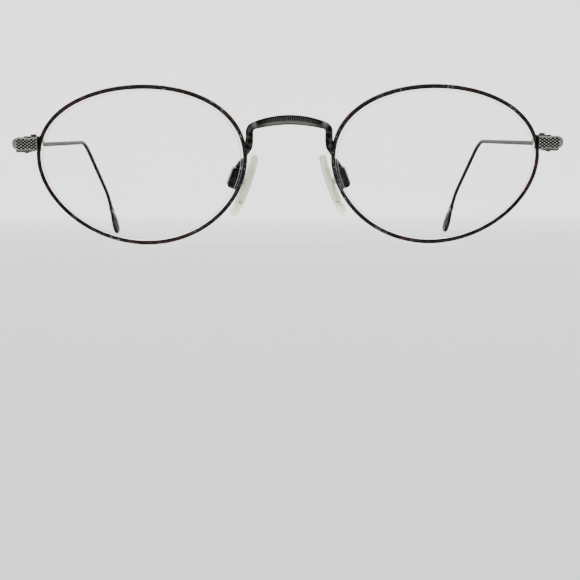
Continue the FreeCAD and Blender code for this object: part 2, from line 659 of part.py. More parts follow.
# channel-shaped box that holds the insert's eye between two cheeks
outer = pad_box_shape(dim("box_rise"), -reach_in, 0, dim("box_long"), dim("box_thick"), dim("box_wide"))
picked = []
for item in outer.Edges:
    direction = item.tangentAt(item.FirstParameter)
    if abs(direction.dot(pad_wide)) > 0.99:
        picked.append(item)
outer = outer.makeFillet(0.7, picked)
slot_in = dim("box_thick") - dim("box_floor")
slot = pad_box_shape(0, -reach_in + dim("box_floor") / 2 + 0.5, 0, dim("box_long") + 2, slot_in + 1.0,
                     dim("box_slot"))
bore = Part.makeCylinder(dim("pad_screw_radius") + 0.01, 6, pad_frame(0, -reach_in, -3), pad_wide)
box_shape = outer.cut(slot).cut(bore)

# pad screw: pin across the box with a slotted head at the back
half_wide = dim("box_wide") / 2
shank = Part.makeCylinder(dim("pad_screw_radius"), dim("box_wide") + 0.15,
                          pad_frame(0, -reach_in, -half_wide - 0.15), pad_wide)
head = Part.makeCylinder(dim("pad_screw_head"), 0.5, pad_frame(0, -reach_in, half_wide), pad_wide)
nick = pad_box_shape(0, -reach_in, half_wide + 0.5, 2.4, 0.26, 0.44)
screw_shape = shank.fuse(head).cut(nick).removeSplitter()
if screw_shape.ShapeType != "Solid":
    screw_shape = screw_shape.Solids[0]
feature("pad_screw_left", screw_shape, FRONT_PLACE)

# pad arm: a short gooseneck from the back of the rim round into the back of the box
root = rim_point(math.radians(181.5))
box_top = dim("box_rise") + dim("box_long") / 2
arm_points = [root + Vec(-0.25, half_a, 0), root + Vec(-0.2, half_a + 1.1, 0),
              root + Vec(0.45, half_a + 2.9, -0.35), pad_frame(box_top + 0.7, -reach_in - 0.2, 0.2),
              pad_frame(box_top - 0.5, -reach_in - 0.35, 0.1)]
arm_curve = Part.BSplineCurve()
arm_curve.interpolate(Points=arm_points)
arm_edge = arm_curve.toShape()
wires = []
for i in range(15):
    parameter = arm_edge.getParameterByLength(arm_edge.Length * i / 14)
    spot = arm_edge.valueAt(parameter)
    along = arm_edge.tangentAt(parameter)
    first = along.cross(pad_up)
    first.normalize()
    second = along.cross(first)
    wires.append(ellipse_wire(spot, first, second, dim("arm_radius"), dim("arm_radius")))
arm_shape = Part.makeLoft(wires, True, False, False)
arm_shape = arm_shape.cut(rim_shape)
arm_shape = arm_shape.cut(outer)
arm_shape = sorted(arm_shape.Solids, key=lambda solid: solid.Volume)[-1]
feature("pad_arm_left", arm_shape, FRONT_PLACE)
feature("pad_box_left", box_shape, FRONT_PLACE)

doc.recompute()

# ---------------------------------------------------------------- right-hand pieces

left_nodes = [obj for obj in nodes if obj.Label.endswith("_left")]
for source in left_nodes:
    label = source.Label[:-5] + "_right"
    twin = doc.addObject("Part::Mirroring", label)
    twin.Source = source
    twin.Normal = Vec(1, 0, 0)
    twin.Base = Vec(0, 0, 0)
    twin.Label = label
    nodes.append(twin)
doc.recompute()

# ---------------------------------------------------------------- checks and files

problems = []
for obj in doc.Objects:
    for word in ("Invalid", "Error"):
        if word in obj.State:
            problems.append(obj.Name + " " + word)
for obj in nodes:
    shape = obj.Shape
    if shape.isNull() or not shape.isValid() or len(shape.Solids) != 1:
        problems.append("%s shape: null %s, solids %d" % (obj.Label, shape.isNull(), len(shape.Solids)))
if problems:
    raise RuntimeError("; ".join(problems))
for obj in nodes:
    obj.Shape.exportStep(os.path.join("parts", obj.Label + ".step"))
print("written", len(nodes), "parts")
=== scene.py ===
import bmesh
import bpy
import json
import math
from mathutils import Matrix, Vector


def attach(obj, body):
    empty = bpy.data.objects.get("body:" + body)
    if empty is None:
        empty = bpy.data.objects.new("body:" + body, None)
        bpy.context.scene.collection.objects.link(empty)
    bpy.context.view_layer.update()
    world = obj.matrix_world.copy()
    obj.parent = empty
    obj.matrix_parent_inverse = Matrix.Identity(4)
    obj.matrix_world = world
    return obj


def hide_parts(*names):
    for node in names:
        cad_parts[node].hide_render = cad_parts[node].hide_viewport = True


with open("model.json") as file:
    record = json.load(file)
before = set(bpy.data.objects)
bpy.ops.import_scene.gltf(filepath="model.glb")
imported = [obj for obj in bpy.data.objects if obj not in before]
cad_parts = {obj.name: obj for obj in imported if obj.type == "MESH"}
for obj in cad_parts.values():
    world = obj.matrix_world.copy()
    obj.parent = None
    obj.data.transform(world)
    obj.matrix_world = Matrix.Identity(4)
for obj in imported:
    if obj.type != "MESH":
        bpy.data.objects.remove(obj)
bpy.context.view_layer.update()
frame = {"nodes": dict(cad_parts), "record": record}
nodes = frame["nodes"]

# Lengths are in millimetres until mesh_piece() turns them into metres; the room and the camera are in metres.
# A piece of a pair is drawn for the wearer's left, at +X, and mirrored for the right.

# ---------------------------------------------------------------- the two drawing frames

MM = 0.001
# the front is drawn upright and leans forward at its top; a temple is drawn level and rises to the back
LEAN, FRONT_Y, FRONT_Z = math.radians(8.0), -63.21, -0.076
RISE, HINGE_Y, HINGE_Z = math.radians(3.2), 8.0, 23.35
FRONT = Matrix.Translation((0, FRONT_Y, FRONT_Z)) @ Matrix.Rotation(LEAN, 4, "X")
TEMPLE = Matrix.Translation(FRONT @ Vector((0, HINGE_Y, HINGE_Z))) @ Matrix.Rotation(RISE, 4, "X")

# ---------------------------------------------------------------- the line that rims and lenses follow

LENS_X, LENS_Z = 34.72, 19.02
HALF_W, HALF_H = 24.7, 18.57
# how far the widest points sit above the middle, at the temple and at the nose
RISE_OUT, RISE_IN = 1.93, 1.82
# how far the top and the bottom are drawn towards the nose
SKEW = 0.46
# radius of the lens's curve, and how far its foremost point is from the lens's middle, towards the nose
BASE, SHIFT = 125.0, 6.6
# half the rim wire's width, seen from the front, and half its depth
HALF_R, HALF_A = 0.49, 0.95


def sag(x, z):
    # how far the lens's curve has fallen back at a point
    dx, dz = x - (LENS_X - SHIFT), z - LENS_Z
    return BASE - math.sqrt(BASE * BASE - dx * dx - dz * dz)


def outline(turn):
    c, d = math.cos(turn), math.sin(turn)
    x = LENS_X + HALF_W * c + SKEW * math.cos(2 * turn)
    z = LENS_Z + HALF_H * d + (RISE_OUT + RISE_IN) / 2 * c * c + (RISE_OUT - RISE_IN) / 2 * c
    return x, z


def rim_frame(turn):
    # point on the rim's midline, and the direction out of the lens there
    x, z = outline(turn)
    next_x, next_z = outline(turn + 1e-4)
    along = Vector((next_x - x, 0, next_z - z)).normalized()
    return Vector((x, sag(x, z), z)), Vector((along.z, 0, -along.x))


# ---------------------------------------------------------------- number and line helpers

def capped(value):
    return min(max(value, 0.0), 1.0)


def ease(value, low, high):
    # 0 below low, 1 above high, smooth between
    t = capped((value - low) / (high - low))
    return t * t * (3 - 2 * t)


def peak(value, centre, spread):
    # 1 at the centre, falling to nothing on both sides
    return math.exp(-((value - centre) / spread) ** 2)


def signed_power(value, power):
    # squares up a circle when used on its sine and cosine
    return math.copysign(abs(value) ** power, value)


def catmull(points, share):
    # smooth curve through the points, share running from 0 to 1
    n = len(points) - 1
    t = capped(share) * n
    i = min(int(t), n - 1)
    t -= i
    p1, p2 = points[i], points[i + 1]
    p0 = points[i - 1] if i > 0 else p1 * 2 - p2
    p3 = points[i + 2] if i + 2 <= n else p2 * 2 - p1
    return 0.5 * (2 * p1 + (p2 - p0) * t + (2 * p0 - 5 * p1 + 4 * p2 - p3) * t * t
                  + (3 * p1 - p0 - 3 * p2 + p3) * t * t * t)


def tangent(line, i):
    return (line[min(i + 1, len(line) - 1)] - line[max(i - 1, 0)]).normalized()


def circle(centre, first, second, count):
    # points round a centre; first and second are the half-axes
    turns = [2 * math.pi * k / count for k in range(count)]
    return [centre + first * math.cos(w) + second * math.sin(w) for w in turns]


# ---------------------------------------------------------------- mesh helpers

def tube(rings):
    # joins rings of points, all the same length, into one skin with closed ends
    verts = [spot for ring in rings for spot in ring]
    faces = []
    size = len(rings[0])
    for i in range(len(rings) - 1):
        a, b = i * size, (i + 1) * size
        for j in range(size):
            k = (j + 1) % size
            faces.append((a + j, a + k, b + k, b + j))
    faces.append(tuple(reversed(range(size))))
    faces.append(tuple(range(len(verts) - size, len(verts))))
    return verts, faces


def outward_normals(obj):
    made = bmesh.new()
    made.from_mesh(obj.data)
    bmesh.ops.recalc_face_normals(made, faces=made.faces)
    made.to_mesh(obj.data)
    made.free()


def dress(obj, look):
    obj.data.materials.clear()
    obj.data.materials.append(look)


def link_smooth(name, mesh):
    # puts a mesh in the scene with smooth shading
    mesh.polygons.foreach_set("use_smooth", [True] * len(mesh.polygons))
    obj = bpy.data.objects.new(name, mesh)
    bpy.context.scene.collection.objects.link(obj)
    return obj


def mesh_piece(name, rings, look, place, side, body, replaced=(), tone_and_painted_light=None, sharp=35):
    # the per-point brightness holds the metal's own oxide tone mixed with painted light and shade, for looks
    # that read it; edges above sharp degrees stay crisp
    verts, faces = tube(rings)
    spots = []
    for vert in verts:
        p = place @ vert
        spots.append((p.x * side * MM, p.y * MM, p.z * MM))
    if side < 0:
        faces = [tuple(reversed(face)) for face in faces]
    mesh = bpy.data.meshes.new(name)
    mesh.from_pydata(spots, [], faces)
    mesh.update()
    if tone_and_painted_light is not None:
        layer = mesh.attributes.new("tone_and_painted_light", "FLOAT", "POINT")
        layer.data.foreach_set("value", tone_and_painted_light)
    obj = link_smooth(name, mesh)
    if sharp:
        mesh.set_sharp_from_angle(angle=math.radians(sharp))
    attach(obj, body)
    if replaced:
        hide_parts(*replaced)
    outward_normals(obj)
    dress(obj, look)
    return obj


# ---------------------------------------------------------------- shader helpers

def grey(level):
    return (level, level, level)


def darker(colour, share):
    return tuple(c * share for c in colour)


def material(name):
    mat = bpy.data.materials.new(name)
    mat.use_nodes = True
    tree = mat.node_tree
    for node in list(tree.nodes):
        tree.nodes.remove(node)
    out = tree.nodes.new("ShaderNodeOutputMaterial")
    shader = tree.nodes.new("ShaderNodeBsdfPrincipled")
    tree.links.new(shader.outputs["BSDF"], out.inputs["Surface"])
    return mat, tree, shader


def coords(tree, per_metre=1000):
    # object coordinates, counted in millimetres unless told otherwise
    source = tree.nodes.new("ShaderNodeTexCoord")
    mapping = tree.nodes.new("ShaderNodeMapping")
    mapping.inputs["Scale"].default_value = (per_metre,) * 3
    tree.links.new(source.outputs["Object"], mapping.inputs["Vector"])
    return mapping.outputs["Vector"]


def noise(tree, place, scale, detail, rough):
    made = tree.nodes.new("ShaderNodeTexNoise")
    made.inputs["Scale"].default_value = scale
    made.inputs["Detail"].default_value = detail
    made.inputs["Roughness"].default_value = rough
    tree.links.new(place, made.inputs["Vector"])
    return made.outputs["Fac"]


def ramp(tree, factor, stops):
    made = tree.nodes.new("ShaderNodeValToRGB")
    elements = made.color_ramp.elements
    while len(elements) < len(stops):
        elements.new(0.5)
    for element, (spot, colour) in zip(elements, stops):
        element.position = spot
        element.color = colour + (1.0,)
    tree.links.new(factor, made.inputs["Fac"])
    return made.outputs["Color"]


def mix(tree, factor, first, second, kind="MIX"):
    made = tree.nodes.new("ShaderNodeMix")
    made.data_type = "RGBA"
    made.blend_type = kind
    if isinstance(factor, float):
        made.inputs[0].default_value = factor
    else:
        tree.links.new(factor, made.inputs[0])
    for socket, value in ((made.inputs[6], first), (made.inputs[7], second)):
        if isinstance(value, tuple):
            socket.default_value = value + (1.0,)
        else:
            tree.links.new(value, socket)
    return made.outputs[2]


def to_range(tree, factor, low, high, from_low=0.0, from_high=1.0):
    made = tree.nodes.new("ShaderNodeMapRange")
    made.inputs["From Min"].default_value = from_low
    made.inputs["From Max"].default_value = from_high
    made.inputs["To Min"].default_value = low
    made.inputs["To Max"].default_value = high
    tree.links.new(factor, made.inputs["Value"])
    return made.outputs["Result"]


def bump(tree, shader, height, strength, depth):
    made = tree.nodes.new("ShaderNodeBump")
    made.inputs["Strength"].default_value = strength
    made.inputs["Distance"].default_value = depth * MM
    tree.links.new(height, made.inputs["Height"])
    tree.links.new(made.outputs["Normal"], shader.inputs["Normal"])


def lamp_pass(tree, shader, tint):
    # lets lamp light through, so that clear pieces don't cast solid shadows
    out = [n for n in tree.nodes if n.type == "OUTPUT_MATERIAL"][0]
    path = tree.nodes.new("ShaderNodeLightPath")
    clear = tree.nodes.new("ShaderNodeBsdfTransparent")
    clear.inputs["Color"].default_value = tint + (1.0,)
    both = tree.nodes.new("ShaderNodeMixShader")
    tree.links.new(path.outputs["Is Shadow Ray"], both.inputs[0])
    tree.links.new(shader.outputs["BSDF"], both.inputs[1])
    tree.links.new(clear.outputs["BSDF"], both.inputs[2])
    tree.links.new(both.outputs["Shader"], out.inputs["Surface"])


# ---------------------------------------------------------------- materials

def tortoise():
    # brown-black enamel with red-brown, olive and grey flecks and a thin glossy coat
    mat, tree, shader = material("tortoise_enamel_look")
    place = coords(tree)
    blotch = noise(tree, place, scale=0.34, detail=6.0, rough=0.62)
    fleck = noise(tree, place, scale=1.35, detail=5.0, rough=0.7)
    olive = noise(tree, place, scale=0.22, detail=3.0, rough=0.5)
    base = ramp(tree, blotch, [(0.44, (0.0016, 0.0014, 0.0014)), (0.54, (0.004, 0.002, 0.002)),
                               (0.6, (0.04, 0.009, 0.008)), (0.68, (0.012, 0.004, 0.004))])
    spots = ramp(tree, fleck, [(0.53, grey(0.0)), (0.6, grey(0.3)), (0.68, grey(1.0))])
    tone = ramp(tree, olive, [(0.4, (0.09, 0.02, 0.016)), (0.5, (0.06, 0.052, 0.04)),
                              (0.58, (0.25, 0.25, 0.23))])
    tree.links.new(mix(tree, spots, base, tone), shader.inputs["Base Color"])
    tree.links.new(to_range(tree, fleck, low=0.2, high=0.38), shader.inputs["Roughness"])
    shader.inputs["Specular IOR Level"].default_value = 0.12
    shader.inputs["Coat Weight"].default_value = 0.05
    shader.inputs["Coat Roughness"].default_value = 0.15
    bump(tree, shader, fleck, strength=0.12, depth=0.04)
    return mat


def pewter(name, light, dark, rough, reads_tone_and_light=False, grain=1.0, edge=0.6):
    # antiqued grey metal: bright on what stands out, dark oxide in what lies deep; a per-point brightness,
    # where read, also carries painted light and shade
    mat, tree, shader = material(name)
    place = coords(tree)
    cloud = noise(tree, place, scale=0.9 * grain, detail=5.0, rough=0.6)
    fine = noise(tree, place, scale=6.0 * grain, detail=4.0, rough=0.6)
    metal = ramp(tree, cloud, [(0.3, darker(light, 0.72)), (0.62, light)])
    worn = ramp(tree, fine, [(0.35, darker(light, 0.55)), (0.6, light)])
    metal = mix(tree, 0.35, metal, worn)
    if reads_tone_and_light:
        attribute = tree.nodes.new("ShaderNodeAttribute")
        attribute.attribute_name = "tone_and_painted_light"
        height = to_range(tree, attribute.outputs["Fac"], low=0.0, high=1.0, from_low=0.2, from_high=0.95)
        colour = mix(tree, height, dark, metal)
        gloss = to_range(tree, height, low=0.62, high=rough)
    else:
        colour = mix(tree, to_range(tree, cloud, low=0.0, high=0.55, from_low=0.45, from_high=0.75),
                     metal, dark)
        gloss = to_range(tree, fine, low=rough - 0.06, high=rough + 0.14)
    tree.links.new(colour, shader.inputs["Base Color"])
    tree.links.new(gloss, shader.inputs["Roughness"])
    shader.inputs["Metallic"].default_value = 0.95
    shader.inputs["Specular Tint"].default_value = grey(edge) + (1.0,)
    bump(tree, shader, fine, strength=0.18, depth=0.03)
    return mat


def dark_plate(name, light, dark, rough=0.4):
    # blackened metal with faint cloudy patches
    mat, tree, shader = material(name)
    place = coords(tree)
    cloud = noise(tree, place, scale=1.1, detail=5.0, rough=0.6)
    fine = noise(tree, place, scale=5.0, detail=4.0, rough=0.6)
    tree.links.new(ramp(tree, cloud, [(0.35, dark), (0.7, light)]), shader.inputs["Base Color"])
    tree.links.new(to_range(tree, fine, low=rough - 0.08, high=rough + 0.12), shader.inputs["Roughness"])
    shader.inputs["Metallic"].default_value = 0.8
    shader.inputs["Specular IOR Level"].default_value = 0.15
    bump(tree, shader, fine, strength=0.15, depth=0.03)
    return mat


def silicone():
    # clear soft pad, slightly yellowed in patches
    mat, tree, shader = material("clear_silicone_look")
    place = coords(tree)
    cloud = noise(tree, place, scale=0.5, detail=3.0, rough=0.5)
    fine = noise(tree, place, scale=3.0, detail=4.0, rough=0.6)
    colour = ramp(tree, cloud, [(0.35, (0.985, 0.98, 0.74)), (0.65, (1.0, 0.995, 0.84))])
    tree.links.new(colour, shader.inputs["Base Color"])
    tree.links.new(to_range(tree, fine, low=0.28, high=0.4), shader.inputs["Roughness"])
    shader.inputs["Transmission Weight"].default_value = 0.85
    shader.inputs["IOR"].default_value = 1.4
    shader.inputs["Subsurface Weight"].default_value = 0.3
    shader.inputs["Subsurface Radius"].default_value = (0.002, 0.0018, 0.0012)
    bump(tree, shader, fine, strength=0.03, depth=0.02)
    lamp_pass(tree, shader, (0.9, 0.92, 0.84))
    return mat


def lens_glass():
    # polished clear lens with a faint green-grey tint
    mat, tree, shader = material("clear_lens_look")
    smear = noise(tree, coords(tree), scale=0.07, detail=3.0, rough=0.5)
    colour = ramp(tree, smear, [(0.35, (0.965, 0.975, 0.968)), (0.65, (0.985, 0.99, 0.985))])
    tree.links.new(colour, shader.inputs["Base Color"])
    shader.inputs["Roughness"].default_value = 0.0
    shader.inputs["Transmission Weight"].default_value = 1.0
    shader.inputs["IOR"].default_value = 1.5
    shader.inputs["Specular Tint"].default_value = (0.1, 0.13, 0.11, 1.0)
    lamp_pass(tree, shader, (0.97, 0.98, 0.97))
    return mat


def ground_edge(name, light, clear):
    # fine-ground glass, matt
    mat, tree, shader = material(name)
    fine = noise(tree, coords(tree), scale=4.0, detail=4.0, rough=0.6)
    colour = ramp(tree, fine, [(0.3, darker(light, 0.88)), (0.7, light)])
    tree.links.new(colour, shader.inputs["Base Color"])
    tree.links.new(to_range(tree, fine, low=0.5, high=0.7), shader.inputs["Roughness"])
    shader.inputs["Transmission Weight"].default_value = clear
    bump(tree, shader, fine, strength=0.2, depth=0.03)
    return mat


OXIDE = grey(0.004)
TORTOISE = tortoise()
KNURL = pewter("antique_pewter_relief_look", (0.6, 0.585, 0.545), OXIDE, 0.36, reads_tone_and_light=True)
# the same antiqued pewter as KNURL in a brighter copy: painted light for the end plates
LIT_PLATE_PEWTER = pewter("knurled_pewter_lit_copy_look", (0.82, 0.8, 0.745), OXIDE, 0.36, reads_tone_and_light=True)
PEWTER = pewter("antique_pewter_look", (0.13, 0.127, 0.118), (0.02, 0.02, 0.018), 0.4)
WIRE = pewter("pewter_wire_look", (0.32, 0.32, 0.31), grey(0.006), 0.42, reads_tone_and_light=True, grain=0.6,
              edge=0.35)
DARK = dark_plate("dark_plate_look", (0.009, 0.009, 0.0088), (0.002, 0.002, 0.0022))
SCREW = dark_plate("steel_screw_look", grey(0.06), grey(0.015), 0.36)
INSERT = pewter("bright_insert_look", (0.75, 0.75, 0.71), (0.4, 0.4, 0.38), 0.36)
SILICONE = silicone()
GLASS = lens_glass()
GROUND = ground_edge("ground_edge_look", (0.9, 0.91, 0.89), clear=0.35)
BEVEL = ground_edge("bevel_line_look", (0.4, 0.4, 0.38), clear=0.0)

# every carried-over CAD node gets the look of its slot
SLOT_LOOK = {"tortoise_enamel": TORTOISE, "dark_enamel": DARK, "antique_pewter": PEWTER, "pewter_wire": WIRE,
             "steel_screw": SCREW, "clear_lens": GLASS, "clear_silicone": SILICONE}
for entry in frame["record"]["subparts"]:
    dress(nodes[entry["node"]], SLOT_LOOK[entry["material_slot"]])

# ---------------------------------------------------------------- eyewires and lenses

# rounding of the wire's outer corners, across and along its depth
ROUND_R, ROUND_A = 0.3, 0.34
# broken edge beside the groove: its length, and how far its middle point is from the sharp corner
BREAK, BREAK_R, BREAK_A = 0.14, 0.05, 0.04
# the groove: half its mouth, half its floor, and the floor's distance from the midline
MOUTH, FLOOR, FLOOR_R = 0.4, 0.06, 0.15
# where the rim is split, and half the gap there
SPLIT, SPLIT_GAP = math.radians(9.8), 0.12


def rim_section():
    # outward and backward distances round the wire: rounded outside, grooved inside
    outside = []
    for middle, first in ((HALF_A - ROUND_A, 90), (-HALF_A + ROUND_A, 0)):
        for i in range(9):
            w = math.radians(first - 90 * i / 8)
            outside.append((HALF_R - ROUND_R + ROUND_R * math.cos(w), middle + ROUND_A * math.sin(w)))
    inside = [(-HALF_R + BREAK, -HALF_A), (-HALF_R + BREAK_R, -HALF_A + BREAK_A), (-HALF_R, -HALF_A + BREAK),
              (-HALF_R, -MOUTH), (-FLOOR_R, -FLOOR)]
    return outside + inside + [(u, -v) for u, v in reversed(inside)]


def eyewire(side, tag):
    section = rim_section()
    steps = 420
    gap = SPLIT_GAP / HALF_W
    rings = []
    for i in range(steps + 1):
        mid, out = rim_frame(SPLIT + gap + (2 * math.pi - 2 * gap) * i / steps)
        rings.append([mid + out * u + Vector((0, v, 0)) for u, v in section])
    mesh_piece("rim_" + tag, rings, TORTOISE, FRONT, side, "front", ["eyewire_" + tag])


# the lens's gap to the wire, and its bevel: how far it reaches into the groove, and half its thickness
LENS_INSET, BEVEL_REACH, BEVEL_HALF = 0.02, 0.22, 0.3
# the thin line of the bevel that shows in front, as shares of the way from the lens's middle to its edge
BEVEL_LINE = (0.976, 0.981)


def lens(side, tag):
    steps = 260
    edge = []
    for j in range(steps):
        mid, out = rim_frame(2 * math.pi * j / steps)
        spot = mid - out * (HALF_R + LENS_INSET)
        edge.append((Vector((spot.x, 0, spot.z)), out))
    middle = Vector((LENS_X, 0, LENS_Z))

    def on_curve(points, depth):
        return [Vector((p.x, sag(p.x, p.z) + depth, p.z)) for p in points]

    def face_ring(share, depth):
        return on_curve([middle.lerp(spot, share) for spot, out in edge], depth)

    def edge_ring(reach, depth):
        return on_curve([spot + out * reach for spot, out in edge], depth)

    front, back = -HALF_A + 0.1, HALF_A
    shares = [0.02] + [k / 14 for k in range(1, 14)] + [0.963, *BEVEL_LINE, 0.996]
    rim = [(-0.02, front + 0.01), (0.0, front + 0.05), (0.0, -BEVEL_HALF), (BEVEL_REACH, 0.0),
           (0.0, BEVEL_HALF), (0.0, back - 0.05), (-0.02, back - 0.01)]
    rings = [face_ring(share, front) for share in shares]
    rings += [edge_ring(reach, depth) for reach, depth in rim]
    rings += [face_ring(share, back) for share in reversed(shares)]
    obj = mesh_piece("lens_glass_" + tag, rings, GLASS, FRONT, side, "front", ["lens_" + tag])
    obj.data.materials.append(GROUND)
    obj.data.materials.append(BEVEL)
    for i, face in enumerate(obj.data.polygons):
        band = i // steps
        if len(shares) < band < len(shares) + len(rim) - 1:
            face.material_index = 1
        elif band == shares.index(BEVEL_LINE[0]):
            face.material_index = 2


# ---------------------------------------------------------------- bridge

BRIDGE_TOP, BRIDGE_TALL, BRIDGE_DROP, BRIDGE_FORWARD = 31.05, 2.2, 1.55, 1.5
LEG_X, LEG_WIDE, BRIDGE_DEEP, FOOT = 9.42, 1.5, 1.5, 21.7
# centre line of the arch's crown, and of the low corner where arch and leg meet
CROWN_Z = BRIDGE_TOP - BRIDGE_TALL / 2
CORNER_Z = CROWN_Z - BRIDGE_DROP
BEAD_PITCH, BEAD_REACH, BEAD_DEEP, BAND_DEEP = 0.43, 7.0, 0.17, 0.02


def bridge_stations():
    # centre, and height and depth as shares of LEG_WIDE and BRIDGE_DEEP, from foot over crown to foot
    ribs = [(0.8, 1.55, FOOT - 0.5, 0.25, 0.35), (0.58, 1.45, FOOT + 0.3, 0.6, 0.65),
            (0.34, 1.25, FOOT + 1.5, 1.24, 0.85), (0.12, 0.95, FOOT + 2.7, 1.26, 0.98),
            (0.0, 0.3, FOOT + 4.4, 1.18, 1.0), (-0.06, -0.25, CORNER_Z - 1.0, 1.18, 1.0),
            (-0.62, -0.6, CORNER_Z - 0.1, 1.15, 1.0), (-2.0, -0.95, CORNER_Z + 0.45, 1.25, 1.0),
            (-4.2, -1.3, CORNER_Z + 1.0, 1.4, 1.0), (-6.8, -1.48, CROWN_Z - 0.15, 1.5, 1.0)]

    def rise(side):
        return [(Vector((side * (LEG_X + out), back, up)), Vector((tall, deep, 0)))
                for out, back, up, tall, deep in ribs]

    crown = (Vector((0, -BRIDGE_FORWARD, CROWN_Z)), Vector((1.52, 1.0, 0)))
    return rise(-1) + [crown] + rise(1)[::-1]


def bridge_directions(along):
    # up out of the arch's crest, and forward, both square to the line
    upward = Vector((0, 1, 0)).cross(along).normalized()
    if upward.z < 0 and abs(along.x) > 0.7:
        upward = -upward
    forward = upward.cross(along)
    if forward.y > 0:
        forward = -forward
    return upward, forward


def arch_shade(v, front, band, bead, painted_middle_light):
    # rails with painted shade on their top, their underside and their back, and painted light strongest at
    # the arch's middle; the beads between them, with dark oxide between the beads; v runs from -1 below to 1
    # above
    rail = (0.55 + 0.45 * ease(v, -0.9, -0.55)) * (1 - band)
    metal = (0.2 + 0.2 * painted_middle_light) * (1 - 0.45 * ease(v, 0.3, 0.7))
    return (0.4 + 0.6 * front) * rail * metal + band * (0.01 + 0.42 * bead) * (0.45 + 0.55 * painted_middle_light)


def leg_shade(v, w, front, travelled, shoulder_highlight):
    # dark and mottled, with a painted highlight on the shoulder where the leg turns into the arch, stronger
    # towards the top
    worn = 0.5 + 0.5 * math.sin(2.1 * travelled + 1.5 * w) * math.sin(1.3 * travelled - 2.5 * w)
    return 0.11 + 0.12 * worn + (0.1 + 0.13 * ease(v, 0.0, 0.7)) * shoulder_highlight * front


def bridge():
    # cast saddle: two dark legs, an arch between rails and a row of fine beads along its crest
    count, around = 700, 48
    stations = bridge_stations()
    centres = [catmull([spot for spot, size in stations], i / count) for i in range(count + 1)]
    sizes = [catmull([size for spot, size in stations], i / count) for i in range(count + 1)]
    travelled = [0.0]
    for before, after in zip(centres, centres[1:]):
        travelled.append(travelled[-1] + (after - before).length)
    rings, tone_and_painted_light = [], []
    for i, centre in enumerate(centres):
        upward, forward = bridge_directions(tangent(centres, i))
        tall, deep = LEG_WIDE / 2 * sizes[i].x, BRIDGE_DEEP / 2 * sizes[i].y
        reach = abs(centre.x)
        arch = 1 - ease(reach, BEAD_REACH, BEAD_REACH + 0.8)
        # painted light: brightest at the arch's middle, fading towards the legs
        painted_middle_light = 1 - ease(reach, 3.5, 9.6)
        # painted highlight on the shoulders, where the leg turns into the arch
        shoulder_highlight = peak(reach, 8.3, 1.3) * ease(centre.z, CORNER_Z - 0.5, CORNER_Z + 0.5)
        bead = 0.5 + 0.5 * math.cos(2 * math.pi * (travelled[i] - travelled[-1] / 2) / BEAD_PITCH)
        ring = []
        for j in range(around):
            w = 2 * math.pi * j / around
            v = signed_power(math.cos(w), 0.8)
            u = signed_power(math.sin(w), 0.7)
            front = ease(math.sin(w), 0.1, 0.35)
            band = ease(v, -0.16, -0.04) * (1 - ease(v, 0.62, 0.74)) * front * arch
            sunk = band * (1 - bead) * BEAD_DEEP + band * BAND_DEEP
            ring.append(centre + upward * (tall * v) + forward * (deep * u - sunk))
            on_arch = arch_shade(v, front, band, bead, painted_middle_light) * (0.3 + 0.7 * arch)
            on_leg = leg_shade(v, w, front, travelled[i], shoulder_highlight) * (1 - arch)
            tone_and_painted_light.append(capped(on_arch + on_leg))
        rings.append(ring)
    mesh_piece("saddle_bridge", rings, KNURL, FRONT, 1, "front", ["bridge"], tone_and_painted_light, 60)


# ---------------------------------------------------------------- knurled end pieces

PLATE_X0, PLATE_X1, PLATE_Y, ARM_END = 59.3, 66.15, 2.35, 7.0
PLATE_Z, PLATE_HALF, TURN_R = 24.05, 1.6, 1.5
NECK_THICK, PLATE_THICK, ARM_THINNER = 0.88, 1.5, 0.38
KNURL_LONG, KNURL_HIGH, KNURL_DEEP = 1.0, 0.69, 0.17
# the plate's narrow waist and the groove round its neck: how far along they are, and how deep
WAIST_AT, WAIST_DEEP = 2.75, 0.2
NECK_AT, NECK_DEEP = 0.62, 0.07
# lengths of the plate's straight stretch, of the turn, and of plate, turn and arm together
STRAIGHT = PLATE_X1 - TURN_R - PLATE_X0
BENT = TURN_R * math.pi / 2
WHOLE = STRAIGHT + BENT + ARM_END - PLATE_Y - TURN_R


def plate_path(s):
    # point on the outer face, s along it, and the way the face looks: out beside the rim, then back
    if s < STRAIGHT:
        return Vector((PLATE_X0 + s, PLATE_Y, 0)), Vector((0, -1, 0))
    if s < STRAIGHT + BENT:
        w = (s - STRAIGHT) / TURN_R
        out = Vector((math.sin(w), -math.cos(w), 0))
        return Vector((PLATE_X1 - TURN_R, PLATE_Y + TURN_R, 0)) + out * TURN_R, out
    return Vector((PLATE_X1, PLATE_Y + TURN_R + s - STRAIGHT - BENT, 0)), Vector((1, 0, 0))


def plate_section(half, thick, corner):
    # depths below the face and heights, from the lower back edge round the front to the upper one
    deep = min(corner, thick - 0.12)
    lower = [(thick, -half + 0.3), (thick - 0.12, -half + 0.06)]
    for k in range(9):
        w = math.radians(90 * k / 8)
        lower.append((deep - deep * math.sin(w), -half + corner - corner * math.cos(w)))
    face_steps = 40
    face = [(0.0, (half - corner) * (2 * k / face_steps - 1)) for k in range(1, face_steps)]
    return lower + face + [(d, -t) for d, t in reversed(lower)]


def ridge(along, across):
    # height and brightness of the knurl: raised lines that peak where they cross, round diamond pits
    first = along / KNURL_LONG + across / KNURL_HIGH
    second = along / KNURL_LONG - across / KNURL_HIGH
    near = [2 * abs(first - round(first)), 2 * abs(second - round(second))]
    line = 1 - ease(min(near), 0.08, 0.5)
    crossing = 1 - ease(max(near), 0.1, 0.55)
    return line, line * (0.34 + 0.66 * crossing)


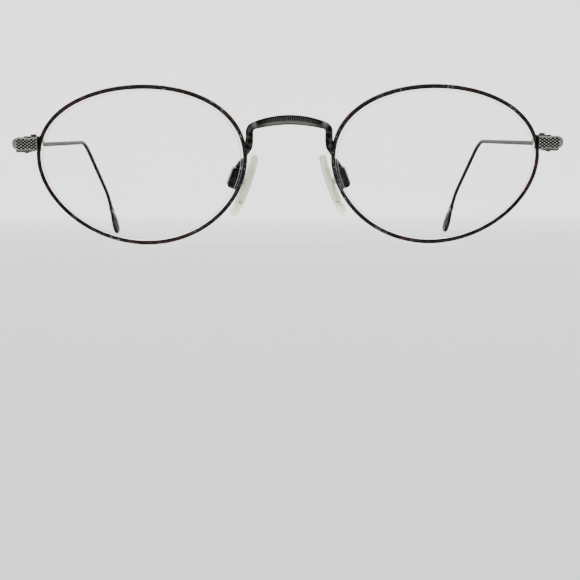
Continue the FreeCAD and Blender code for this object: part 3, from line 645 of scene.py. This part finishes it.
def end_piece(side, tag):
    # thin neck, knurled plate with a waist, and a plain arm that turns back to the hinge
    count = int(WHOLE / 0.065)
    rings, tone_and_painted_light = [], []
    for i in range(count + 1):
        s = WHOLE * i / count
        base, out = plate_path(s)
        turned = ease(s, STRAIGHT - 0.4, STRAIGHT + BENT)
        half = (PLATE_HALF - 0.3 * turned - 0.12 * (1 - ease(s, 0.0, 0.5))
                - WAIST_DEEP * peak(s, WAIST_AT, 0.45))
        thick = NECK_THICK + (PLATE_THICK - NECK_THICK) * ease(s, 1.0, 1.4) - ARM_THINNER * turned
        corner = min(0.72 + 0.28 * turned, half - 0.1)
        past_neck = ease(s, 0.55, 0.8)
        ring = []
        for d, t in plate_section(half, thick, corner):
            inset = min(half - 0.36 - abs(t), STRAIGHT + 0.35 - s, s - 0.82)
            mask = ease(inset, 0.0, 0.1) * (1 - ease(d, 0.35, 0.5))
            crest, gleam = ridge(s, t)
            groove = peak(s, NECK_AT, 0.1) * (1 - ease(d, 0.3, 0.6))
            sunk = KNURL_DEEP * (1 - crest) * mask + NECK_DEEP * groove
            bow = 0.1 * (t / half) ** 2
            ring.append(base - out * (d + sunk + bow * (1 - d / thick)) + Vector((0, 0, PLATE_Z + t)))
            # plain metal past the neck, with painted shade on the rounded edges and sides that turn away from
            # the face; dark at the neck
            plain = (0.44 - 0.3 * ease(d, 0.2, 0.8)) * past_neck + 0.1 * (1 - past_neck)
            tone_and_painted_light.append(capped(plain * (1 - mask) + gleam * mask))
        rings.append(ring)
    mesh_piece("knurled_plate_" + tag, rings, LIT_PLATE_PEWTER, FRONT, side, "front",
               ["end_piece_" + tag], tone_and_painted_light, 50)


# ---------------------------------------------------------------- temple wires and tips

WIRE_R, EAR_R, NECK_R = 0.56, 14.0, 34.0
WIRE_FIRST, EAR_CORNER = Vector((63.2, 6.3, 0)), Vector((62.1, 90.2, 0))
NECK_CORNER, TIP_END = Vector((57.6, 108.2, -16.9)), Vector((56.7, 126.4, -30.712))
TIP_WAY = (TIP_END - NECK_CORNER).normalized()
TIP_LONG, TIP_THICK, TIP_WIDE = 15.0, 2.1, 3.5
# how far the wire runs into the tip, and how much the tip's collar is thicker than the wire
WIRE_INTO_TIP, COLLAR_MORE, BEAD_MORE = 2.0, 0.12, 0.16
VEINS, VEIN_DEEP = 6, 0.1


def rounded(before, corner, after, radius, steps):
    # points on the arc that rounds a corner of the wire
    back, onward = (before - corner).normalized(), (after - corner).normalized()
    half = back.angle(onward) / 2
    centre = corner + (back + onward).normalized() * (radius / math.sin(half))
    reach = radius / math.tan(half)
    first = (corner + back * reach - centre).normalized()
    last = (corner + onward * reach - centre).normalized()
    return [centre + first.slerp(last, k / steps) * radius for k in range(steps + 1)]


def temple_wire(side, tag):
    # round wire: straight from the hinge, down and in behind the ear, into the tip
    ear = rounded(WIRE_FIRST, EAR_CORNER, NECK_CORNER, EAR_R, 24)
    neck = rounded(EAR_CORNER, NECK_CORNER, TIP_END, NECK_R, 10)
    run = [WIRE_FIRST.lerp(ear[0], k / 40) for k in range(40)]
    drop = [ear[-1].lerp(neck[0], k / 10) for k in range(1, 10)]
    end = TIP_END - TIP_WAY * (TIP_LONG - WIRE_INTO_TIP)
    tail = [neck[-1].lerp(end, k / 4) for k in range(1, 5)]
    line = run + ear + drop + neck + tail
    around = 24
    rings, tone_and_painted_light = [], []
    for i, spot in enumerate(line):
        along = tangent(line, i)
        first = along.cross(Vector((1, 0, 0))).normalized()
        second = along.cross(first)
        rings.append(circle(spot, first * WIRE_R, second * WIRE_R, around))
        # past the ear bend the wire is dark, with painted light only on its inner side; before the bend,
        # painted shade along its lower side
        past_ear = ease(spot.y, ear[0].y, ear[-1].y + 1.0)
        for k in range(around):
            w = 2 * math.pi * k / around
            inside = ease(-(second * math.sin(w) + first * math.cos(w)).x, 0.3, 0.9)
            bright = 0.62 - 0.3 * ease(math.cos(w), 0.2, 0.9)
            tone_and_painted_light.append(bright * (1 - past_ear) + 0.4 * inside * past_ear)
    mesh_piece("side_wire_" + tag, rings, WIRE, TEMPLE, side, "temple_" + tag,
               ["temple_wire_" + tag], tone_and_painted_light, 50)


def temple_tip(side, tag):
    # leaf-shaped paddle with a collar, veins engraved lengthwise on both faces
    start = TIP_END - TIP_WAY * TIP_LONG
    sideways = TIP_WAY.cross(Vector((1, 0, 0))).normalized()
    inward = sideways.cross(TIP_WAY)
    count, around = 200, 56
    rings, tone_and_painted_light = [], []
    for i in range(count + 1):
        s = i / count
        leaf = ease(s, 0.13, 0.62) * (1 - ease(s, 0.8, 1.06)) ** 0.6
        collar = peak(s, 0.09, 0.018) + 0.7 * peak(s, 0.15, 0.012)
        thin = WIRE_R + COLLAR_MORE + BEAD_MORE * collar
        close = math.sqrt(max(1 - max((s - 0.93) / 0.07, 0.0) ** 2, 0.0)) * 0.92 + 0.08
        thick = (thin + (TIP_THICK / 2 - thin) * leaf) * close
        wide = (thin + (TIP_WIDE / 2 - thin) * leaf) * close
        ring = []
        for k in range(around):
            w = 2 * math.pi * k / around
            c, d = math.cos(w), math.sin(w)
            vein = ease(math.cos(VEINS * w + 2.2 * math.sin(9 * s)), 0.35, 0.95)
            vein *= ease(s, 0.2, 0.3) * (1 - ease(s, 0.9, 0.97))
            ring.append(start + TIP_WAY * (TIP_LONG * s) + inward * (c * (thick - VEIN_DEEP * vein))
                        + sideways * (d * (wide - VEIN_DEEP * vein)))
            # painted light on the tip's inner side; the engraved veins stay dark
            inside = ease(-(inward * c + sideways * d).x, -0.1, 0.7)
            tone_and_painted_light.append(capped((0.06 + 0.34 * inside) * (1 - 0.85 * vein) + 0.3 * collar))
        rings.append(ring)
    mesh_piece("leaf_tip_" + tag, rings, KNURL, TEMPLE, side, "temple_" + tag,
               ["temple_tip_" + tag], tone_and_painted_light, 60)


# ---------------------------------------------------------------- nose pads and their arms

PAD_LEAN, PAD_SPLAY = math.radians(21.0), math.radians(6.0)
PAD_SPOT = Vector((10.7, 8.0, 14.15))
PAD_ABOVE, PAD_BELOW, PAD_WIDE, PAD_THICK, PAD_CURVE = 7.1, 8.8, 7.6, 1.9, 62.0
# distance from PAD_SPOT to the pad's middle surface, depth of its dish, and length of its rounded ends
PAD_OUT, PAD_DISH, PAD_ROUND = 0.55, 0.12, 1.1
# the insert's lip: its place on the pad, where it starts through the pad's thickness, and its size
LIP_UP, LIP_FORWARD, LIP_START = -4.5, 3.32, -0.55
LIP_WIDE, LIP_TALL, LIP_LONG = 0.32, 0.17, 0.9
# where on the rim the gooseneck starts, and its radius at its thinnest
ARM_TURN, ARM_R = math.radians(181.5), 0.5


def pad_axes():
    # the pad's own directions: along its length, towards the nose, and forward across its face
    up = Vector((-math.sin(PAD_LEAN), 0, math.cos(PAD_LEAN)))
    flat = Vector((-math.cos(PAD_LEAN), 0, -math.sin(PAD_LEAN)))
    inward = flat * math.cos(PAD_SPLAY) + Vector((0, 1, 0)) * math.sin(PAD_SPLAY)
    return up, inward, up.cross(inward).normalized()


def pad_middle(reach):
    # how far towards the nose the curved pad's middle surface is, reach along its length
    return PAD_OUT - reach ** 2 / 2 / PAD_CURVE


def nose_pad(side, tag):
    # clear curved pad: an oval seen from the nose, an even thickness with full round edges
    up, inward, across = pad_axes()
    middle = (PAD_ABOVE - PAD_BELOW) / 2
    half_long = (PAD_ABOVE + PAD_BELOW) / 2
    rings = []
    count, around = 72, 56
    for i in range(count + 1):
        level = -math.cos(math.pi * i / count)
        bow = math.sqrt(max(1 - abs(level) ** 2.3, 0.0)) ** 0.95
        wide = PAD_WIDE / 2 * max(bow, 0.02) * (1 - 0.05 * level)
        to_end = half_long - abs(level) * half_long
        thick = PAD_THICK / 2 * math.sqrt(max(1 - max(1 - to_end / PAD_ROUND, 0.0) ** 2, 0.0004))
        centre = PAD_SPOT + up * (middle + level * half_long) + inward * pad_middle(level * half_long)
        ring = []
        for k in range(around):
            w = 2 * math.pi * k / around
            u = signed_power(math.cos(w), 0.75)
            v = signed_power(math.sin(w), 0.55)
            dish = PAD_DISH * (1 - u * u) * (1 - level * level)
            hollow = dish if math.sin(w) < 0 else -dish * 0.4
            ring.append(centre + across * (wide * u) + inward * (thick * v + hollow))
        rings.append(ring)
    mesh_piece("clear_pad_" + tag, rings, SILICONE, FRONT, side, "pad_" + tag,
               ["nose_pad_" + tag], None, 0)


def insert_lip(side, tag):
    # turned lip of the insert, a small dark mark at the pad's front edge near its lower end
    up, inward, across = pad_axes()
    spot = PAD_SPOT + up * LIP_UP + inward * pad_middle(LIP_UP) + across * LIP_FORWARD
    tilt = (inward + up * 0.45).normalized()
    steps = 6
    rings = []
    for i in range(steps + 1):
        share = i / steps
        wide = LIP_WIDE * (1 - abs(share - 0.5))
        middle = spot + tilt * (LIP_START + LIP_LONG * share)
        rings.append(circle(middle, across * wide, up * LIP_TALL, 16))
    mesh_piece("insert_lip_" + tag, rings, DARK, FRONT, side, "pad_" + tag,
               (), None, 40)


def pad_arm(side, tag):
    # gooseneck wire from the back of the rim round into the top of the box
    up, inward, across = pad_axes()
    root = rim_frame(ARM_TURN)[0]
    spots = [root + Vector((0.15, 0.7, 0)), root + Vector((0.2, 2.05, 0)), root + Vector((0.6, 3.85, -0.35)),
             PAD_SPOT + up * 3.4 - inward * 2.9 - across * 0.2,
             PAD_SPOT + up * 2.45 - inward * 3.0 - across * 0.1]
    count = 48
    line = [catmull(spots, i / count) for i in range(count + 1)]
    sideways = Vector((0, 0, 1))
    rings = []
    for i, spot in enumerate(line):
        along = tangent(line, i)
        sideways = (sideways - along * sideways.dot(along)).normalized()
        share = i / count
        radius = ARM_R + 0.16 * ease(share, 0.3, 0.75) + 0.1 * peak(share, 0.0, 0.06)
        rings.append(circle(spot, sideways * radius, along.cross(sideways) * radius, 20))
    node_name = "pad_arm_" + tag
    mesh_piece("gooseneck_" + tag, rings, DARK, FRONT, side, "front", [node_name],
               None, 60)


# ---------------------------------------------------------------- small metal parts with eased edges

def eased(node_name, width, body, look):
    # the CAD part's own shape with its sharp edges broken, as polishing leaves them
    made = bmesh.new()
    made.from_mesh(nodes[node_name].data)
    bmesh.ops.remove_doubles(made, verts=made.verts, dist=0.002 * MM)
    bmesh.ops.dissolve_limit(made, angle_limit=math.radians(1.0), verts=made.verts, edges=made.edges)
    corners = [edge for edge in made.edges
               if len(edge.link_faces) == 2 and edge.calc_face_angle(0.0) > math.radians(35)]
    bmesh.ops.bevel(made, geom=corners, offset=width * MM, segments=2, profile=0.6, affect="EDGES",
                    clamp_overlap=True)
    mesh = bpy.data.meshes.new("eased_" + node_name)
    made.to_mesh(mesh)
    made.free()
    obj = link_smooth("eased_" + node_name, mesh)
    mesh.set_sharp_from_angle(angle=math.radians(30))
    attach(obj, body)
    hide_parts(node_name)
    dress(obj, look)


bridge()
for side, tag in ((1, "left"), (-1, "right")):
    eyewire(side, tag)
    lens(side, tag)
    end_piece(side, tag)
    temple_wire(side, tag)
    temple_tip(side, tag)
    nose_pad(side, tag)
    insert_lip(side, tag)
    pad_arm(side, tag)
    dress(nodes["pad_insert_" + tag], INSERT)
    for part, width, body, look in (("closing_block_upper_", 0.1, "front", PEWTER),
                                    ("closing_block_lower_", 0.1, "front", PEWTER),
                                    ("closing_screw_", 0.07, "front", PEWTER),
                                    ("hinge_front_", 0.09, "front", PEWTER),
                                    ("hinge_screw_", 0.07, "front", SCREW),
                                    ("temple_hinge_", 0.12, "temple_" + tag, PEWTER),
                                    ("pad_box_", 0.12, "front", DARK),
                                    ("pad_screw_", 0.07, "front", SCREW)):
        eased(part + tag, width, body, look)

# ---------------------------------------------------------------- room, light and camera, in metres

ROOM, SWEEP_Y, SWEEP_R = 6.0, 0.9, 0.5
GLASSES_SPOT = (0, 0, 0.02)


def sweep_backdrop():
    # floor that curves up into a wall far behind
    line = [(-ROOM, 0.0), (-SWEEP_Y, 0.0), (SWEEP_Y, 0.0)]
    for i in range(1, 13):
        w = math.radians(90 * i / 12)
        line.append((SWEEP_Y + SWEEP_R * math.sin(w), SWEEP_R - SWEEP_R * math.cos(w)))
    line.append((SWEEP_Y + SWEEP_R, ROOM))
    verts = [(x, y, z) for y, z in line for x in (-ROOM, ROOM)]
    faces = [(a, a + 1, a + 3, a + 2) for a in range(0, len(verts) - 2, 2)]
    mesh = bpy.data.meshes.new("backdrop")
    mesh.from_pydata(verts, [], faces)
    obj = link_smooth("backdrop", mesh)
    mat, tree, shader = material("backdrop_look")
    shade = noise(tree, coords(tree, per_metre=1), scale=3.0, detail=3.0, rough=0.5)
    colour = ramp(tree, shade, [(0.3, (0.78, 0.79, 0.775)), (0.7, (0.8, 0.81, 0.795))])
    tree.links.new(colour, shader.inputs["Base Color"])
    shader.inputs["Roughness"].default_value = 0.9
    shader.inputs["Specular IOR Level"].default_value = 0.1
    dress(obj, mat)


def area_light(name, spot, target, size, power):
    data = bpy.data.lights.new(name, "AREA")
    data.shape = "RECTANGLE"
    data.size, data.size_y = size
    data.energy = power
    obj = bpy.data.objects.new(name, data)
    obj.location = spot
    obj.rotation_euler = (Vector(target) - Vector(spot)).to_track_quat("-Z", "Y").to_euler()
    bpy.context.scene.collection.objects.link(obj)


def studio_world():
    # bright behind and above the glasses, dim in front of them, so that polished metal shows contrast
    world = bpy.data.worlds.new("studio")
    world.use_nodes = True
    tree = world.node_tree
    place = tree.nodes.new("ShaderNodeTexCoord")
    split = tree.nodes.new("ShaderNodeSeparateXYZ")
    tree.links.new(place.outputs["Generated"], split.inputs["Vector"])
    behind = to_range(tree, split.outputs["Y"], low=0.0, high=1.0, from_low=-1.0)
    level = to_range(tree, split.outputs["Z"], low=0.0, high=1.0, from_low=-1.0)
    depth = ramp(tree, behind, [(0.25, grey(0.05)), (0.5, (0.32, 0.33, 0.325)), (0.72, (1.0, 1.03, 1.02))])
    height = ramp(tree, level, [(0.5, grey(0.0)), (0.85, (0.75, 0.77, 0.76))])
    surround = mix(tree, 1.0, depth, height, "LIGHTEN")
    # what is seen past the floor's end: starts as dim as the far floor
    seen = ramp(tree, level, [(0.5, (0.5, 0.51, 0.505)), (0.6, (1.0, 1.02, 1.01))])
    path = tree.nodes.new("ShaderNodeLightPath")
    shown = mix(tree, path.outputs["Is Camera Ray"], surround, seen)
    background = tree.nodes["Background"]
    tree.links.new(shown, background.inputs["Color"])
    background.inputs["Strength"].default_value = 1.0
    bpy.context.scene.world = world


CAMERA_SPOT = (-0.00613, -0.36321, 0.00957)
YAW, PITCH, ROLL = math.radians(1.19), math.radians(-3.94), math.radians(-0.23)
# in millimetres, as Blender counts them
SENSOR, FOCAL_LENGTH = 36.0, 77.2510345


def add_camera():
    data = bpy.data.cameras.new("camera")
    data.sensor_width = SENSOR
    data.lens = FOCAL_LENGTH
    data.clip_start = 0.01
    camera = bpy.data.objects.new("camera", data)
    camera.matrix_world = (Matrix.Translation(CAMERA_SPOT) @ Matrix.Rotation(-YAW, 4, "Z")
                           @ Matrix.Rotation(math.pi / 2 + PITCH, 4, "X") @ Matrix.Rotation(ROLL, 4, "Z"))
    bpy.context.scene.collection.objects.link(camera)
    bpy.context.scene.camera = camera


sweep_backdrop()
area_light("key_light", (-0.5, -0.9, 1.2), GLASSES_SPOT, (0.8, 0.8), 7)
area_light("fill_light", (0.9, -0.6, 0.8), GLASSES_SPOT, (0.8, 0.8), 3)
area_light("back_light", (0.0, 0.6, 1.5), (0, 1.4, 0.1), (2.4, 0.8), 62)
studio_world()
add_camera()
